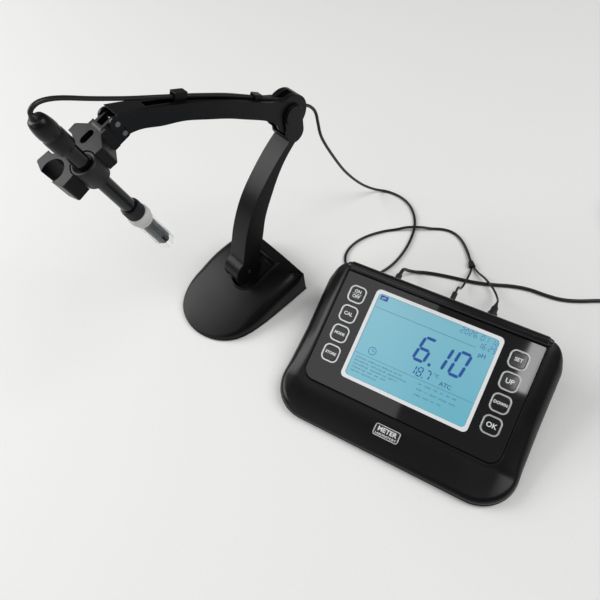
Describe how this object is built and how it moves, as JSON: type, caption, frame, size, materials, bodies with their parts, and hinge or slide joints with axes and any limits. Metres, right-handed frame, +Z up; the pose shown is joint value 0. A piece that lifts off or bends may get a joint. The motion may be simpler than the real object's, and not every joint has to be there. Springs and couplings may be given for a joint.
{
  "type": "bench pH meter with electrode stand",
  "caption": "Sloping bench pH meter console with screen and keys, beside a swing-arm stand that holds a combination electrode, with its lead and power lead.",
  "frame": {"origin": "on the table, under the middle of the console and stand together (free leads left out)", "axes": "+X along the console's width to its right, +Y towards its back, +Z up"},
  "size_m": [0.4997, 0.4504, 0.3404],
  "materials": {
    "shell_black": "satin",
    "hood_grey": "gloss",
    "tray_dark": "matte",
    "overlay_grey": "gloss",
    "white_trim": "gloss",
    "lcd_blue": "gloss",
    "white_plastic": "matte",
    "board_green": "satin",
    "rubber_grey": "matte",
    "rubber_black": "matte",
    "silver_trim": "satin",
    "key_black": "gloss",
    "nickel": "gloss",
    "zinc_steel": "satin",
    "stand_black": "satin",
    "link_black": "satin",
    "cast_weight": "matte",
    "cap_black": "satin",
    "stem_black": "gloss",
    "inner_black": "gloss",
    "seal_white": "satin",
    "guard_clear": "gloss",
    "lead_black": "satin",
    "adapter_black": "satin"
  },
  "bodies": {
    "base": {"lower_shell": "shell_black", "upper_shell": "shell_black", "hood": "hood_grey", "panel_tray": "tray_dark", "overlay": "overlay_grey", "screen_border": "white_trim", "lcd_glass": "lcd_blue", "backlight": "white_plastic", "main_board": "board_green", "key_domes": "rubber_grey", "key_rings": "silver_trim", "badge": "silver_trim", "rear_plate": "tray_dark", "bnc_socket": "nickel", "temperature_socket": "tray_dark", "power_jack": "tray_dark", "console_feet": "rubber_black", "case_screws": "zinc_steel", "base_cover": "stand_black", "base_weight": "cast_weight", "base_pads": "rubber_black", "foot_pins": "zinc_steel", "lead_on_table": "lead_black", "lead_splitter": "rubber_black", "thin_leads": "lead_black", "bnc_plug": "nickel", "probe_plug": "rubber_black", "power_lead": "lead_black", "power_plug": "rubber_black", "power_coil": "lead_black", "coil_tie": "rubber_black", "adapter": "adapter_black"},
    "column": {"column": "stand_black", "elbow_pins": "stand_black", "lead_hanging": "lead_black"},
    "column_link": {"column_link": "link_black"},
    "knuckle": {"knuckle": "link_black"},
    "arm": {"arm": "stand_black", "cable_tabs": "stand_black", "lead_in_arm": "lead_black"},
    "arm_link": {"arm_link": "link_black"},
    "head": {"electrode_holder": "stand_black", "head_pins": "zinc_steel", "clip_bush": "rubber_black", "electrode_cap": "cap_black", "electrode_stem": "stem_black", "guard_collar": "cap_black", "seal_ring": "seal_white", "clear_guard": "guard_clear", "glass_bulb": "inner_black", "strain_relief": "rubber_black", "lead_at_cap": "lead_black"},
    "key_left_1": {"key_left_1": "key_black"},
    "key_left_2": {"key_left_2": "key_black"},
    "key_left_3": {"key_left_3": "key_black"},
    "key_left_4": {"key_left_4": "key_black"},
    "key_right_1": {"key_right_1": "key_black"},
    "key_right_2": {"key_right_2": "key_black"},
    "key_right_3": {"key_right_3": "key_black"},
    "key_right_4": {"key_right_4": "key_black"}
  },
  "joints": [
    {"name": "column_tilt", "type": "hinge", "parent": "base", "child": "column", "pos_m": [-0.1373, 0.00728, 0.047], "axis": [0.9534, -0.3017, 0], "range_deg": [-10, 35], "deforming": ["lead_hanging"]},
    {"name": "knuckle_level", "type": "hinge", "parent": "column", "child": "knuckle", "pos_m": [-0.11015, 0.09309, 0.203], "axis": [0.9534, -0.3017, 0], "range_deg": [-35, 10]},
    {"name": "arm_tilt", "type": "hinge", "parent": "knuckle", "child": "arm", "pos_m": [-0.11015, 0.09309, 0.203], "axis": [0.9534, -0.3017, 0], "range_deg": [-12, 40]},
    {"name": "head_level", "type": "hinge", "parent": "arm", "child": "head", "pos_m": [-0.15658, -0.05364, 0.2918], "axis": [0.9534, -0.3017, 0], "range_deg": [-40, 12], "deforming": ["lead_at_cap"]},
    {"name": "column_link_tilt", "type": "hinge", "parent": "base", "child": "column_link", "pos_m": [-0.13459, 0.01586, 0.0455], "axis": [0.9534, -0.3017, 0], "range_deg": [-10, 35]},
    {"name": "arm_link_tilt", "type": "hinge", "parent": "knuckle", "child": "arm_link", "pos_m": [-0.10919, 0.09614, 0.1916], "axis": [0.9534, -0.3017, 0], "range_deg": [-12, 40]},
    {"name": "key_left_1_press", "type": "slide", "parent": "base", "child": "key_left_1", "axis": [0, 0.3746, -0.9272], "range_m": [0, 0.0008], "stiffness_N_per_m": 600, "springref_m": -0.0005},
    {"name": "key_left_2_press", "type": "slide", "parent": "base", "child": "key_left_2", "axis": [0, 0.3746, -0.9272], "range_m": [0, 0.0008], "stiffness_N_per_m": 600, "springref_m": -0.0005},
    {"name": "key_left_3_press", "type": "slide", "parent": "base", "child": "key_left_3", "axis": [0, 0.3746, -0.9272], "range_m": [0, 0.0008], "stiffness_N_per_m": 600, "springref_m": -0.0005},
    {"name": "key_left_4_press", "type": "slide", "parent": "base", "child": "key_left_4", "axis": [0, 0.3746, -0.9272], "range_m": [0, 0.0008], "stiffness_N_per_m": 600, "springref_m": -0.0005},
    {"name": "key_right_1_press", "type": "slide", "parent": "base", "child": "key_right_1", "axis": [0, 0.3746, -0.9272], "range_m": [0, 0.0008], "stiffness_N_per_m": 600, "springref_m": -0.0005},
    {"name": "key_right_2_press", "type": "slide", "parent": "base", "child": "key_right_2", "axis": [0, 0.3746, -0.9272], "range_m": [0, 0.0008], "stiffness_N_per_m": 600, "springref_m": -0.0005},
    {"name": "key_right_3_press", "type": "slide", "parent": "base", "child": "key_right_3", "axis": [0, 0.3746, -0.9272], "range_m": [0, 0.0008], "stiffness_N_per_m": 600, "springref_m": -0.0005},
    {"name": "key_right_4_press", "type": "slide", "parent": "base", "child": "key_right_4", "axis": [0, 0.3746, -0.9272], "range_m": [0, 0.0008], "stiffness_N_per_m": 600, "springref_m": -0.0005}
  ],
  "couplings": [
    {"joint": "knuckle_level", "follows": "column_tilt", "ratio": -1},
    {"joint": "head_level", "follows": "arm_tilt", "ratio": -1},
    {"joint": "column_link_tilt", "follows": "column_tilt", "ratio": 1},
    {"joint": "arm_link_tilt", "follows": "arm_tilt", "ratio": 1}
  ]
}
